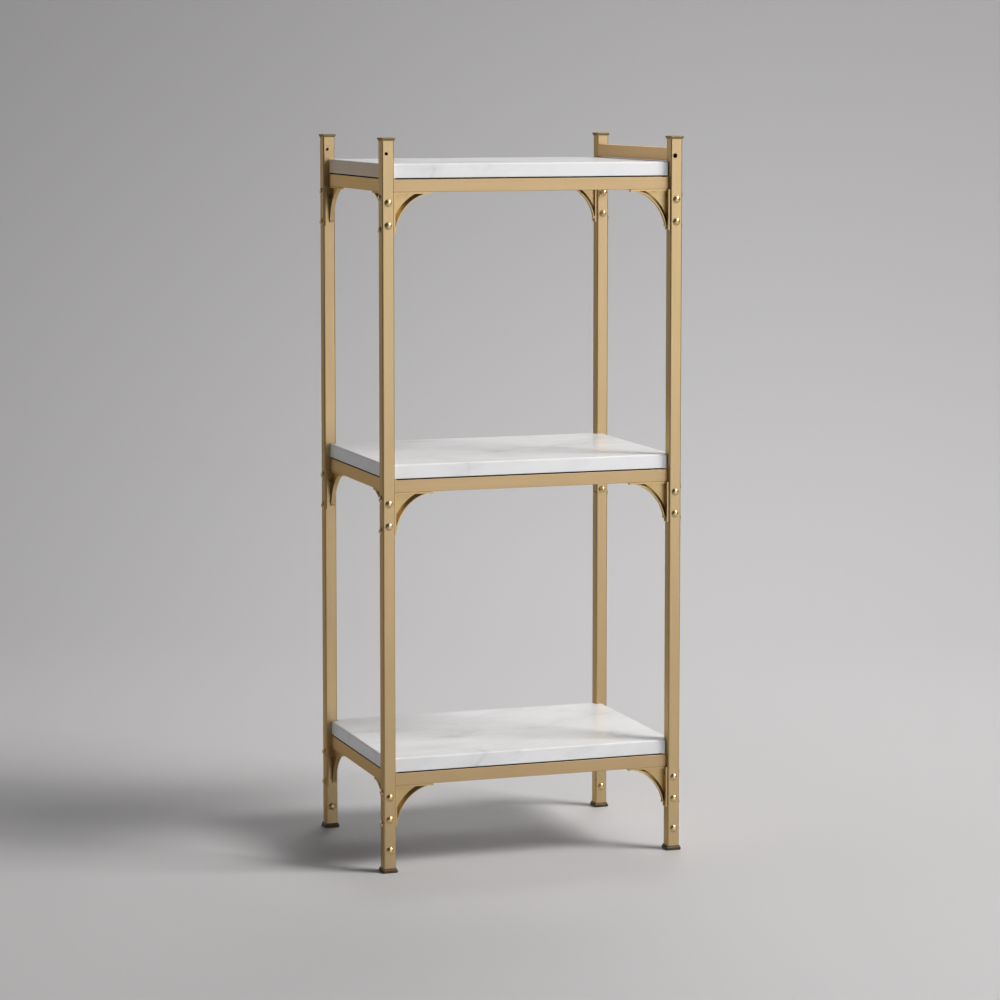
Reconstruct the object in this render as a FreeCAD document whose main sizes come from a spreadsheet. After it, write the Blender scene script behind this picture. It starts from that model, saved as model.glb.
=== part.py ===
import FreeCAD, Part
import math
import os
from FreeCAD import Vector, Placement, Rotation

# Three-tier shelving unit: four square tube posts, three notched stone slabs
# on bar aprons, arched corner brackets, dome-head bolts, caps and feet.
# Frame: +X to the right, +Y to the back, +Z up; origin at the middle of the
# footprint, on the surface it stands on. Millimetres.

doc = FreeCAD.newDocument("shelving_unit")
sheet = doc.addObject("Spreadsheet::Sheet", "Params")

cells = [
    # overall
    ("total_height", 1040.0),
    ("post_x", 216.0),            # post centre line from the middle, side to side
    ("post_y", 150.0),            # post centre line from the middle, front to back
    # posts
    ("post_size", 18.0),
    ("post_wall", 1.5),
    ("post_round", 2.2),
    ("bolt_clear", 6.6),          # bolt clearance hole, diameter
    ("rail_access", 6.8),         # rail screw access hole, diameter
    ("spare_access", 5.0),        # the same in the left posts
    ("rail_clear", 4.4),          # rail screw clearance hole, diameter
    ("rail_hole_off", 2.5),       # rail screw hole, left of the post's middle
    ("rail_hole_up", 7.2),        # right posts: hole above the rail's underside
    ("spare_hole_up", 13.2),      # left posts: the same
    # feet
    ("foot_size", 22.6),
    ("foot_height", 6.5),
    ("foot_pad", 3.8),
    ("foot_neck", 18.4),
    ("foot_plug", 38.0),
    ("foot_bolt_z", 32.0),
    ("plug_size", 14.9),
    ("plug_round", 0.6),
    # caps
    ("cap_size", 21.2),
    ("cap_plate", 1.8),
    ("cap_height", 4.4),
    ("cap_neck", 18.2),
    ("cap_plug", 16.0),
    # tiers: height of each slab's underside
    ("tier_low", 142.4),
    ("tier_mid", 561.0),
    ("tier_top", 983.4),
    ("slab_thick", 20.0),
    ("slab_inset", 8.5),          # slab face behind the posts' outer faces
    ("slab_notch_gap", 0.8),
    ("slab_edge", 2.2),
    ("slab_under_edge", 1.0),
    ("slab_corner", 1.2),
    ("pad_thick", 1.6),           # rubber strips between slab and bars
    ("pad_width", 5.6),
    ("pad_end_gap", 6.0),
    # aprons and rail
    ("bar_height", 18.0),
    ("bar_thick", 6.0),
    ("bar_inset", 8.5),           # bar face behind the posts' outer faces
    ("bar_round", 0.7),
    ("bar_gap", 0.25),            # play at each end of a bar
    ("bar_screw_at", 22.0),       # apron screw from the post's face
    ("bar_screw_clear", 3.3),
    ("bar_screw_sink", 1.05),
    ("rail_thick", 12.0),
    ("rail_height", 18.0),
    ("rail_low", 1004.6),
    ("rail_tap", 4.06),
    ("rail_tap_depth", 24.0),
    # corner brackets, in their own frame: x away from the post, z up from
    # the apron's underside, y across the post
    ("leg_thick", 2.4),
    ("leg_width", 12.6),
    ("leg_length", 58.5),
    ("plate_thick", 2.5),
    ("plate_reach", 57.0),
    ("flange_rim", 1.2),          # rim of the arch, seen from the front
    ("flange_ramp", 4.6),         # slope from the rim back to the web
    ("flange_radius", 60.5),      # hollow side of the arch
    ("flange_cx", 64.5),
    ("flange_cz", 61.6),
    ("flange_low", 52.0),
    ("web_thick", 2.0),
    ("bead_dia", 3.2),
    ("tap_dia", 6.1),
    ("plate_tap", 3.06),
    # bolts: depth of each bolt below the slab's underside
    ("bolt_y_one", 34.3),         # front-to-back bolts
    ("bolt_y_two", 66.0),
    ("bolt_x_one", 27.7),         # side-to-side bolts
    ("bolt_x_two", 72.6),
    ("bolt_dia", 6.0),
    ("bolt_length", 19.6),
    ("nut_bolt", 21.5),           # bolts that take a dome nut
    ("long_bolt", 23.9),          # the same, through an angle's leg
    ("dome_dia", 10.6),
    ("dome_height", 3.4),
    ("dome_rim", 0.7),
    ("foot_bolt_length", 16.0),
    ("nut_dia", 10.0),
    ("nut_base", 2.2),
    ("nut_height", 5.2),
    ("nut_bore", 6.06),
    ("nut_depth", 4.0),
    # plain angles: leg on the post, arm under the bar
    ("angle_leg_x", 15.0),
    ("angle_leg_y", 21.0),
    ("angle_arm", 30.0),
    ("apron_screw_dia", 3.0),
    ("apron_screw_length", 20.0),
    ("apron_screw_head", 5.2),
    ("apron_screw_cone", 1.1),
    ("rail_screw_dia", 4.0),
    ("rail_screw_head", 6.8),
    ("rail_screw_head_h", 4.0),
    ("rail_screw_length", 22.0),
    ("hex_key", 3.0),
]
for i, (alias, value) in enumerate(cells, start=1):
    sheet.set("A%d" % i, alias)
    sheet.set("B%d" % i, "%g" % value)
    sheet.setAlias("B%d" % i, alias)
doc.recompute()


def P(alias):
    return float(sheet.get(alias))


def plane(body, role):
    return [f for f in body.Origin.OriginFeatures if f.Role == role][0]


def new_body(name):
    body = doc.addObject("PartDesign::Body", name)
    body.Label = name
    return body


def new_sketch(body, name, role, offset=None):
    sk = body.newObject("Sketcher::SketchObject", name)
    sk.AttachmentSupport = (plane(body, role), [""])
    sk.MapMode = "FlatFace"
    if offset:
        sk.setExpression("AttachmentOffset.Base.z", offset)
    return sk


def bind(sk, index, name, expr):
    sk.renameConstraint(index, name)
    sk.setExpression("Constraints." + name, expr)


def val(expr):
    # numeric start value of an expression on the sheet, for drawing
    e = expr.replace("Params.", "")
    names = sorted([c[0] for c in cells], key=len, reverse=True)
    out, i = "", 0
    while i < len(e):
        hit = None
        for n in names:
            if e.startswith(n, i):
                hit = n
                break
        if hit:
            out += repr(P(hit))
            i += len(hit)
        else:
            out += e[i]
            i += 1
    return solve(out)


def solve(text):
    # sums, differences, products, quotients and brackets
    text = text.replace(" ", "")
    pos = [0]

    def number():
        if text[pos[0]] == "(":
            pos[0] += 1
            v = total()
            pos[0] += 1
            return v
        if text[pos[0]] == "-":
            pos[0] += 1
            return -number()
        j = pos[0]
        while j < len(text) and (text[j].isdigit() or text[j] == "."):
            j += 1
        v = float(text[pos[0]:j])
        pos[0] = j
        return v

    def product():
        v = number()
        while pos[0] < len(text) and text[pos[0]] in "*/":
            op = text[pos[0]]
            pos[0] += 1
            w = number()
            v = v * w if op == "*" else v / w
        return v

    def total():
        v = product()
        while pos[0] < len(text) and text[pos[0]] in "+-":
            op = text[pos[0]]
            pos[0] += 1
            w = product()
            v = v + w if op == "+" else v - w
        return v

    return total()


def box_lines(sk, x0, x1, y0, y1):
    g = len(sk.Geometry)
    pts = [Vector(x0, y0, 0), Vector(x1, y0, 0), Vector(x1, y1, 0), Vector(x0, y1, 0)]
    for i in range(4):
        sk.addGeometry(Part.LineSegment(pts[i], pts[(i + 1) % 4]), False)
    for i in range(4):
        sk.addConstraint(Sketch("Coincident", g + i, 2, g + (i + 1) % 4, 1))
    sk.addConstraint(Sketch("Horizontal", g))
    sk.addConstraint(Sketch("Horizontal", g + 2))
    sk.addConstraint(Sketch("Vertical", g + 1))
    sk.addConstraint(Sketch("Vertical", g + 3))
    return g


def Sketch(*args):
    import Sketcher
    return Sketcher.Constraint(*args)


def centred_rect(sk, wide, high, tag=""):
    # rectangle about the sketch's origin
    w, t = val(wide), val(high)
    g = box_lines(sk, -w / 2, w / 2, -t / 2, t / 2)
    sk.addConstraint(Sketch("Symmetric", g, 1, g + 2, 1, -1, 1))
    c = sk.addConstraint(Sketch("DistanceX", g, 1, g, 2, w))
    bind(sk, c, "wide" + tag, wide)
    c = sk.addConstraint(Sketch("DistanceY", g + 1, 1, g + 1, 2, t))
    bind(sk, c, "high" + tag, high)
    return g


def placed_rect(sk, x0, x1, y0, y1, tag):
    # rectangle by its four sides, each measured from the origin
    a, b, c, d = val(x0), val(x1), val(y0), val(y1)
    g = box_lines(sk, a, b, c, d)
    for (name, kind, geo, point, value, expr) in (
            ("left", "DistanceX", g, 1, a, x0), ("right", "DistanceX", g, 2, b, x1),
            ("low", "DistanceY", g, 1, c, y0), ("top", "DistanceY", g + 2, 1, d, y1)):
        if abs(value) < 1e-9:
            sk.addConstraint(Sketch("PointOnObject", geo, point, -2 if kind == "DistanceX" else -1))
        else:
            k = sk.addConstraint(Sketch(kind, -1, 1, geo, point, value))
            bind(sk, k, name + tag, expr)
    return g


def placed_circle(sk, x, y, dia, tag):
    cx, cy, d = val(x), val(y), val(dia)
    g = sk.addGeometry(Part.Circle(Vector(cx, cy, 0), Vector(0, 0, 1), d / 2), False)
    for (name, kind, value, expr) in (("cx", "DistanceX", cx, x), ("cy", "DistanceY", cy, y)):
        if abs(value) < 1e-9:
            sk.addConstraint(Sketch("PointOnObject", g, 3, -2 if kind == "DistanceX" else -1))
        else:
            k = sk.addConstraint(Sketch(kind, -1, 1, g, 3, value))
            bind(sk, k, name + tag, expr)
    k = sk.addConstraint(Sketch("Diameter", g, d))
    bind(sk, k, "dia" + tag, dia)
    return g


def pad(body, name, sk, length, both=False, back=False):
    f = body.newObject("PartDesign::Pad", name)
    f.Profile = sk
    f.setExpression("Length", length)
    if both:
        f.SideType = "Symmetric"
    f.Reversed = back
    sk.Visibility = False
    doc.recompute()
    return f


def pocket(body, name, sk, length=None, both=False, back=False):
    before = body.Shape.Volume
    f = body.newObject("PartDesign::Pocket", name)
    f.Profile = sk
    if length:
        f.setExpression("Length", length)
    else:
        f.Type = "ThroughAll"
    if both:
        f.SideType = "Symmetric"
    f.Reversed = back
    doc.recompute()
    if not body.Shape.Volume < before - 1e-3:
        raise RuntimeError("pocket %s of %s cut nothing" % (name, body.Label))
    return f


def edge_names(shape, test):
    return ["Edge%d" % (i + 1) for i, e in enumerate(shape.Edges) if test(e)]


def fillet(body, name, base, names, radius):
    if not names:
        raise RuntimeError("no edges for %s of %s" % (name, body.Label))
    f = body.newObject("PartDesign::Fillet", name)
    f.Base = (base, names)
    f.setExpression("Radius", radius)
    doc.recompute()
    return f


def put(obj, x, y, z, turn=0.0):
    # place a sub-part; x, y and z are expressions on the sheet
    obj.Placement = Placement(Vector(0, 0, 0), Rotation(Vector(0, 0, 1), turn))
    for axis, expr in (("x", x), ("y", y), ("z", z)):
        obj.setExpression("Placement.Base." + axis, expr)


nodes = []            # sub-parts to write, in order

TIERS = ("low", "mid", "top")
TIER_NAME = {"low": "bottom", "mid": "middle", "top": "top"}
HALF = "Params.post_size / 2"

# ---------------------------------------------------------------- posts
# Square tube, open at both ends. The bolt holes go through both walls; the
# side-to-side ones sit clear above or below the front-to-back ones, so the
# bolts pass each other inside the tube.


def arched(tier, sx, sy, along):
    # arched brackets: under the front and left bars, and under the top back
    # bar at the right; the other corners have plain angles
    if along == "x":
        return sy < 0 or (tier == "top" and sx > 0)
    return sx < 0


def post(name, sign_x, rear):
    body = new_body(name)
    s = new_sketch(body, name + "_section", "XY_Plane")
    centred_rect(s, "Params.post_size", "Params.post_size")
    centred_rect(s, "Params.post_size - 2 * Params.post_wall",
                 "Params.post_size - 2 * Params.post_wall", "_in")
    tube = pad(body, name + "_tube", s,
               "Params.total_height - Params.foot_height - Params.cap_height")
    half = P("post_size") / 2

    def corner(e):
        return all(abs(abs(v.X) - half) < 1e-6 and abs(abs(v.Y) - half) < 1e-6 for v in e.Vertexes) \
            and abs(e.Vertexes[0].Z - e.Vertexes[-1].Z) > 1
    fillet(body, name + "_rounds", tube, edge_names(tube.Shape, corner), "Params.post_round")
    s = new_sketch(body, name + "_front_holes", "XZ_Plane")
    for t in TIERS:
        for k in ("one", "two"):
            placed_circle(s, "0", "Params.tier_%s - Params.bolt_y_%s - Params.foot_height" % (t, k),
                          "Params.bolt_clear", "_%s_%s" % (t, k))
    pocket(body, name + "_front_drill", s, both=True)
    # side holes: outer wall, then inner wall, where the lower hole is tapped
    # if no bracket leg takes the bolt
    for wall, back in (("outer", sign_x > 0), ("inner", sign_x < 0)):
        s = new_sketch(body, "%s_side_holes_%s" % (name, wall), "YZ_Plane")
        for t in TIERS:
            for k in ("one", "two"):
                tapped = wall == "inner" and k == "two" and not arched(t, sign_x, 1 if rear else -1, "x")
                placed_circle(s, "0", "Params.tier_%s - Params.bolt_x_%s - Params.foot_height" % (t, k),
                              "Params.tap_dia" if tapped else "Params.bolt_clear", "_%s_%s" % (t, k))
        pocket(body, "%s_side_drill_%s" % (name, wall), s, HALF, back=back)
    # rail screw: wide access hole in the outer wall, clearance hole inside
    rail_z = "Params.rail_low + Params.%s - Params.foot_height" % (
        "spare_hole_up" if sign_x < 0 else "rail_hole_up")
    s = new_sketch(body, name + "_rail_hole", "XZ_Plane")
    placed_circle(s, "-Params.rail_hole_off", rail_z, "Params.rail_clear", "_rail")
    pocket(body, name + "_rail_drill", s, both=True)
    s = new_sketch(body, name + "_access_hole", "XZ_Plane")
    placed_circle(s, "-Params.rail_hole_off", rail_z,
                  "Params.spare_access" if sign_x < 0 else "Params.rail_access", "_access")
    pocket(body, name + "_access_drill", s, HALF, back=not rear)
    # foot bolt: front-facing wall only
    s = new_sketch(body, name + "_foot_hole", "XZ_Plane")
    placed_circle(s, "0", "Params.foot_bolt_z - Params.foot_height", "Params.bolt_clear", "_foot")
    pocket(body, name + "_foot_drill", s, HALF, back=True)
    put(body, "%s Params.post_x" % ("-" if sign_x < 0 else "+"),
        "%s Params.post_y" % ("+" if rear else "-"), "Params.foot_height")
    nodes.append(body)
    return body


CORNERS = (("front_left", -1, -1), ("front_right", 1, -1),
           ("back_left", -1, 1), ("back_right", 1, 1))


def corner_xy(sx, sy):
    return ("%s Params.post_x" % ("-" if sx < 0 else "+"),
            "%s Params.post_y" % ("-" if sy < 0 else "+"))


for cname, sx, sy in CORNERS:
    post(cname + "_post", sx, sy > 0)

# ---------------------------------------------------------------- caps, feet
# Flared square pieces with a plug that fits the tube.


def flare(body, name, stations):
    # ruled loft through square sections at the given heights
    sks = []
    for i, (expr_size, expr_z) in enumerate(stations):
        s = new_sketch(body, "%s_%d" % (name, i), "XY_Plane", expr_z)
        centred_rect(s, expr_size, expr_size)
        sks.append(s)
    f = body.newObject("PartDesign::AdditiveLoft", name)
    f.Profile = sks[0]
    f.Sections = sks[1:]
    f.Ruled = True
    doc.recompute()
    return f


def cap(name, sx, sy):
    body = new_body(name)
    s = new_sketch(body, name + "_plate_section", "XY_Plane", "Params.cap_height - Params.cap_plate")
    centred_rect(s, "Params.cap_size", "Params.cap_size")
    p = pad(body, name + "_plate", s, "Params.cap_plate")
    p = fillet(body, name + "_corner_rounds", p,
               edge_names(p.Shape, lambda e: abs(e.Vertexes[0].Z - e.Vertexes[-1].Z) > 1), "2.0")
    top = P("cap_height")
    fillet(body, name + "_top_rounds", p,
           edge_names(p.Shape, lambda e: all(abs(v.Z - top) < 1e-6 for v in e.Vertexes)), "0.7")
    # hollow throat between the post's top edge and the plate
    flare(body, name + "_throat", [
        ("Params.cap_size - 1.0", "Params.cap_height - Params.cap_plate"),
        ("Params.cap_neck + 1.0", "1.7"),
        ("Params.cap_neck + 0.3", "0.9"),
        ("Params.cap_neck", "0")])
    # plug inside the tube
    s = new_sketch(body, name + "_plug_section", "XY_Plane")
    centred_rect(s, "Params.plug_size", "Params.plug_size")
    p = pad(body, name + "_plug", s, "Params.cap_plug", back=True)
    low = -P("cap_plug")
    fillet(body, name + "_plug_rounds", p,
           edge_names(p.Shape, lambda e: abs(e.BoundBox.ZMin - low) < 1e-6 and abs(e.BoundBox.ZMax) < 1e-6),
           "Params.plug_round")
    x, y = corner_xy(sx, sy)
    put(body, x, y, "Params.total_height - Params.cap_height")
    nodes.append(body)


def foot(name, sx, sy):
    body = new_body(name)
    s = new_sketch(body, name + "_pad_section", "XY_Plane")
    centred_rect(s, "Params.foot_size", "Params.foot_size")
    p = pad(body, name + "_pad", s, "Params.foot_pad")
    p = fillet(body, name + "_corner_rounds", p,
               edge_names(p.Shape, lambda e: abs(e.Vertexes[0].Z - e.Vertexes[-1].Z) > 1), "2.4")
    fillet(body, name + "_sole_rounds", p,
           edge_names(p.Shape, lambda e: all(abs(v.Z) < 1e-6 for v in e.Vertexes)), "1.2")
    flare(body, name + "_ankle", [
        ("Params.foot_size - 1.6", "Params.foot_pad"),
        ("Params.foot_neck + 1.2", "Params.foot_pad + 1.1"),
        ("Params.foot_neck", "Params.foot_height")])
    s = new_sketch(body, name + "_plug_section", "XY_Plane", "Params.foot_height")
    centred_rect(s, "Params.plug_size", "Params.plug_size")
    p = pad(body, name + "_plug", s, "Params.foot_plug")
    low, high = P("foot_height"), P("foot_height") + P("foot_plug")
    fillet(body, name + "_plug_rounds", p,
           edge_names(p.Shape, lambda e: abs(e.BoundBox.ZMin - low) < 1e-6 and abs(e.BoundBox.ZMax - high) < 1e-6),
           "Params.plug_round")
    # tapped hole for the foot bolt
    s = new_sketch(body, name + "_tap_hole", "XZ_Plane")
    placed_circle(s, "0", "Params.foot_bolt_z", "Params.tap_dia", "_tap")
    pocket(body, name + "_tap", s, both=True)
    x, y = corner_xy(sx, sy)
    put(body, x, y, "0")
    nodes.append(body)


for cname, sx, sy in CORNERS:
    cap(cname + "_cap", sx, sy)
for cname, sx, sy in CORNERS:
    foot(cname + "_foot", sx, sy)

# ---------------------------------------------------------------- slabs
# Stone, notched at each corner round the post, all edges eased.


def slab(name, tier):
    body = new_body(name)
    wide = "2 * Params.post_x + Params.post_size - 2 * Params.slab_inset"
    deep = "2 * Params.post_y + Params.post_size - 2 * Params.slab_inset"
    s = new_sketch(body, name + "_outline", "XY_Plane")
    centred_rect(s, wide, deep)
    p = pad(body, name + "_blank", s, "Params.slab_thick")
    s = new_sketch(body, name + "_notches", "XY_Plane")
    inner_x = "(Params.post_x - Params.post_size / 2 - Params.slab_notch_gap)"
    inner_y = "(Params.post_y - Params.post_size / 2 - Params.slab_notch_gap)"
    outer_x = "(Params.post_x + Params.post_size)"
    outer_y = "(Params.post_y + Params.post_size)"
    placed_rect(s, "-" + outer_x, "-" + inner_x, "-" + outer_y, "-" + inner_y, "_a")
    placed_rect(s, inner_x, outer_x, "-" + outer_y, "-" + inner_y, "_b")
    placed_rect(s, inner_x, outer_x, inner_y, outer_y, "_c")
    placed_rect(s, "-" + outer_x, "-" + inner_x, inner_y, outer_y, "_d")
    p = pocket(body, name + "_notched", s, "Params.slab_thick", back=True)
    half_x = P("post_x") + P("post_size") / 2 - P("slab_inset")
    half_y = P("post_y") + P("post_size") / 2 - P("slab_inset")

    def upright(e):
        return abs(e.Vertexes[0].Z - e.Vertexes[-1].Z) > 1

    def outside(e):
        v = e.Vertexes[0]
        return abs(abs(v.X) - half_x) < 1e-6 or abs(abs(v.Y) - half_y) < 1e-6
    p = fillet(body, name + "_outer_corners", p,
               edge_names(p.Shape, lambda e: upright(e) and outside(e)), "Params.slab_corner")
    p = fillet(body, name + "_notch_corners", p,
               edge_names(p.Shape, lambda e: upright(e) and not outside(e)
                          and abs(abs(e.Vertexes[0].X) - (half_x)) > 4 and abs(abs(e.Vertexes[0].Y) - (half_y)) > 4),
               "Params.slab_corner")
    thick = P("slab_thick")
    p = fillet(body, name + "_top_edge", p,
               edge_names(p.Shape, lambda e: all(abs(v.Z - thick) < 1e-6 for v in e.Vertexes)),
               "Params.slab_edge")
    fillet(body, name + "_under_edge", p,
           edge_names(p.Shape, lambda e: all(abs(v.Z) < 1e-6 for v in e.Vertexes)),
           "Params.slab_under_edge")
    put(body, "0", "0", "Params.tier_%s" % tier)
    nodes.append(body)


for t in TIERS:
    slab("%s_shelf_slab" % TIER_NAME[t], t)

# ---------------------------------------------------------------- aprons, rail
# Flat bar, ends butting the posts. Two countersunk screw holes near the ends
# take the screws into the brackets below.


def bar(name, length, thick, high):
    body = new_body(name)
    s = new_sketch(body, name + "_section", "YZ_Plane")
    centred_rect(s, thick, high)
    p = pad(body, name + "_bar", s, length, both=True)
    fillet(body, name + "_rounds", p,
           edge_names(p.Shape, lambda e: abs(e.Vertexes[0].X - e.Vertexes[-1].X) > 1),
           "Params.bar_round")
    return body


LONG = "2 * (Params.post_x - Params.post_size / 2 - Params.bar_gap)"
SHORT = "2 * (Params.post_y - Params.post_size / 2 - Params.bar_gap)"


def apron(name, tier, side):
    long_bar = side in ("front", "back")
    length = LONG if long_bar else SHORT
    body = bar(name, length, "Params.bar_thick", "Params.bar_height")
    s = new_sketch(body, name + "_screw_holes", "XY_Plane")
    at = "(%s / 2 + Params.bar_gap - Params.bar_screw_at)" % length
    placed_circle(s, at, "0", "Params.bar_screw_clear", "_right")
    placed_circle(s, "-" + at, "0", "Params.bar_screw_clear", "_left")
    p = pocket(body, name + "_drilled", s, both=True)
    top = P("bar_height") / 2

    def mouth(e):
        c = e.Curve
        return c.TypeId == "Part::GeomCircle" and abs(c.Radius - P("bar_screw_clear") / 2) < 1e-6 \
            and abs(c.Center.z - top) < 1e-6
    names = edge_names(p.Shape, mouth)
    if len(names) != 2:
        raise RuntimeError("countersinks of %s: %d edges" % (name, len(names)))
    f = body.newObject("PartDesign::Chamfer", name + "_countersinks")
    f.Base = (p, names)
    f.setExpression("Size", "Params.bar_screw_sink")
    doc.recompute()
    off = "Params.post_size / 2 - Params.bar_inset - Params.bar_thick / 2"
    z = "Params.tier_%s - Params.pad_thick - Params.bar_height / 2" % tier
    if side == "front":
        put(body, "0", "-(Params.post_y + %s)" % off, z)
    elif side == "back":
        put(body, "0", "Params.post_y + %s" % off, z, 180)
    elif side == "left":
        put(body, "-(Params.post_x + %s)" % off, "0", z, 90)
    else:
        put(body, "Params.post_x + %s" % off, "0", z, -90)
    nodes.append(body)


for t in TIERS:
    for side in ("front", "back", "left", "right"):
        apron("%s_%s_apron" % (TIER_NAME[t], side), t, side)

# gallery rail between the right-hand posts, tapped at both ends
rail = bar("gallery_rail", SHORT, "Params.rail_thick", "Params.rail_height")
# its middle lies on the line of the posts' rail holes
s = new_sketch(rail, "gallery_rail_tap_a", "YZ_Plane", "-(%s) / 2" % SHORT)
placed_circle(s, "0", "Params.rail_hole_up - Params.rail_height / 2", "Params.rail_tap", "_a")
pocket(rail, "gallery_rail_tapped_a", s, "Params.rail_tap_depth", back=True)
s = new_sketch(rail, "gallery_rail_tap_b", "YZ_Plane", "(%s) / 2" % SHORT)
placed_circle(s, "0", "Params.rail_hole_up - Params.rail_height / 2", "Params.rail_tap", "_b")
pocket(rail, "gallery_rail_tapped_b", s, "Params.rail_tap_depth", back=False)
put(rail, "Params.post_x - Params.rail_hole_off", "0",
    "Params.rail_low + Params.rail_height / 2", -90)
nodes.append(rail)

# ---------------------------------------------------------------- brackets
# One cast piece: leg plate on the post, top plate under the apron, a web at
# the inner side and a curved flange with a bead at each end. Two hands, and
# two hole patterns (brackets on the posts' side faces, brackets on the
# front and back faces).


def prim(kind, name, **exprs):
    o = doc.addObject(kind, name)
    for key, expr in exprs.items():
        o.setExpression(key, expr)
    return o


def locate(o, x, y, z, rot=None):
    o.Placement = Placement(Vector(0, 0, 0), rot if rot else Rotation())
    for axis, expr in (("x", x), ("y", y), ("z", z)):
        o.setExpression("Placement.Base." + axis, expr)
    return o


ALONG_Y = Rotation(Vector(1, 0, 0), -90)      # cylinder axis to +y
ALONG_X = Rotation(Vector(0, 1, 0), 90)       # cylinder axis to +x


def bracket_master(name, hand, bolts, outward=True):
    # the apron bar spans y0..y0+bar_thick across the post;
    # the arch's rim is on the bar's outer side, or on its inner side if not
    # outward, and the web on the other side
    near = "(Params.bar_inset - Params.post_size / 2)"
    if hand > 0:
        y0 = near
        yscrew = "(%s + Params.bar_thick / 2)" % near
    else:
        y0 = "(-%s - Params.bar_thick)" % near
        yscrew = "(-%s - Params.bar_thick / 2)" % near
    rim_low = (hand > 0) == outward
    yweb = "(%s + Params.bar_thick - Params.web_thick)" % y0 if rim_low else y0
    leg = locate(prim("Part::Box", name + "_leg", Length="Params.leg_thick",
                      Width="Params.leg_width", Height="Params.leg_length"),
                 "0", "-Params.leg_width / 2", "-Params.leg_length")
    plate = locate(prim("Part::Box", name + "_plate", Length="Params.plate_reach",
                        Width="Params.bar_thick", Height="Params.plate_thick"),
                   "0", y0, "-Params.plate_thick")
    # arch: a rim at the outer side that slopes back to the web, hollow side
    # cylindrical, trimmed to the corner between leg and plate
    rim_r = "(Params.flange_radius + Params.flange_rim)"
    web_r = "(Params.flange_radius + Params.flange_rim + Params.flange_ramp)"
    slope = prim("Part::Cone", name + "_slope", Height="Params.bar_thick - Params.web_thick",
                 Radius1=rim_r if rim_low else web_r, Radius2=web_r if rim_low else rim_r)
    slope = locate(slope, "Params.flange_cx", y0 if rim_low else "(%s + Params.web_thick)" % y0,
                   "-Params.flange_cz", ALONG_Y)
    backing = locate(prim("Part::Cylinder", name + "_backing", Radius=rim_r, Height="Params.web_thick"),
                     "Params.flange_cx", yweb, "-Params.flange_cz", ALONG_Y)
    ring_out = doc.addObject("Part::MultiFuse", name + "_ring_out")
    ring_out.Shapes = [slope, backing]
    ring_in = locate(prim("Part::Cylinder", name + "_ring_in", Radius="Params.flange_radius",
                          Height="Params.bar_thick + 4"),
                     "Params.flange_cx", y0 + " - 2", "-Params.flange_cz", ALONG_Y)
    ring = doc.addObject("Part::Cut", name + "_ring")
    ring.Base, ring.Tool = ring_out, ring_in
    trim = locate(prim("Part::Box", name + "_trim", Length="Params.plate_reach",
                       Width="Params.bar_thick + 8", Height="Params.flange_low"),
                  "0", y0 + " - 4", "-Params.flange_low")
    flange = doc.addObject("Part::Common", name + "_flange")
    flange.Base, flange.Tool = ring, trim
    # web: fills the corner as far as the arch
    blank = locate(prim("Part::Box", name + "_web_blank", Length="Params.plate_reach",
                        Width="Params.web_thick", Height="Params.flange_low"),
                   "0", yweb, "-Params.flange_low")
    hollow = locate(prim("Part::Cylinder", name + "_web_hollow",
                         Radius="(Params.flange_radius + Params.flange_rim / 2)",
                         Height="Params.web_thick + 4"),
                    "Params.flange_cx", yweb + " - 2", "-Params.flange_cz", ALONG_Y)
    web = doc.addObject("Part::Cut", name + "_web")
    web.Base, web.Tool = blank, hollow
    # beads at the ends of the flange
    bead_low = locate(prim("Part::Cylinder", name + "_bead_low", Radius="Params.bead_dia / 2",
                           Height="Params.bar_thick"),
                      "Params.flange_cx - sqrt((Params.flange_radius + 0.8) ^ 2 - (Params.flange_cz - Params.flange_low) ^ 2)",
                      y0, "-Params.flange_low", ALONG_Y)
    bead_tip = locate(prim("Part::Cylinder", name + "_bead_tip", Radius="Params.bead_dia / 2",
                           Height="Params.bar_thick"),
                      "Params.plate_reach", y0,
                      "-Params.bead_dia / 2",
                      ALONG_Y)
    solid = doc.addObject("Part::MultiFuse", name + "_solid")
    solid.Shapes = [leg, plate, flange, web, bead_low, bead_tip]
    solid.Refine = True
    holes = []
    for k in ("one", "two"):
        holes.append(locate(
            prim("Part::Cylinder", name + "_tap_" + k, Radius="Params.tap_dia / 2",
                 Height="Params.leg_thick + 2.3"),
            "-2", "0", "Params.pad_thick + Params.bar_height - Params.bolt_%s_%s" % (bolts, k), ALONG_X))
    holes.append(locate(
        prim("Part::Cylinder", name + "_tap_plate", Radius="Params.plate_tap / 2",
             Height="Params.plate_thick + 2"),
        "Params.bar_screw_at", yscrew, "-Params.plate_thick - 1"))
    drill = doc.addObject("Part::MultiFuse", name + "_drill")
    drill.Shapes = holes
    cut = doc.addObject("Part::Cut", name)
    cut.Base, cut.Tool = solid, drill
    cut.Refine = True
    doc.recompute()
    if not cut.Shape.Volume < solid.Shape.Volume - 100:
        raise RuntimeError("bracket %s was not drilled" % name)
    return cut


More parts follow.
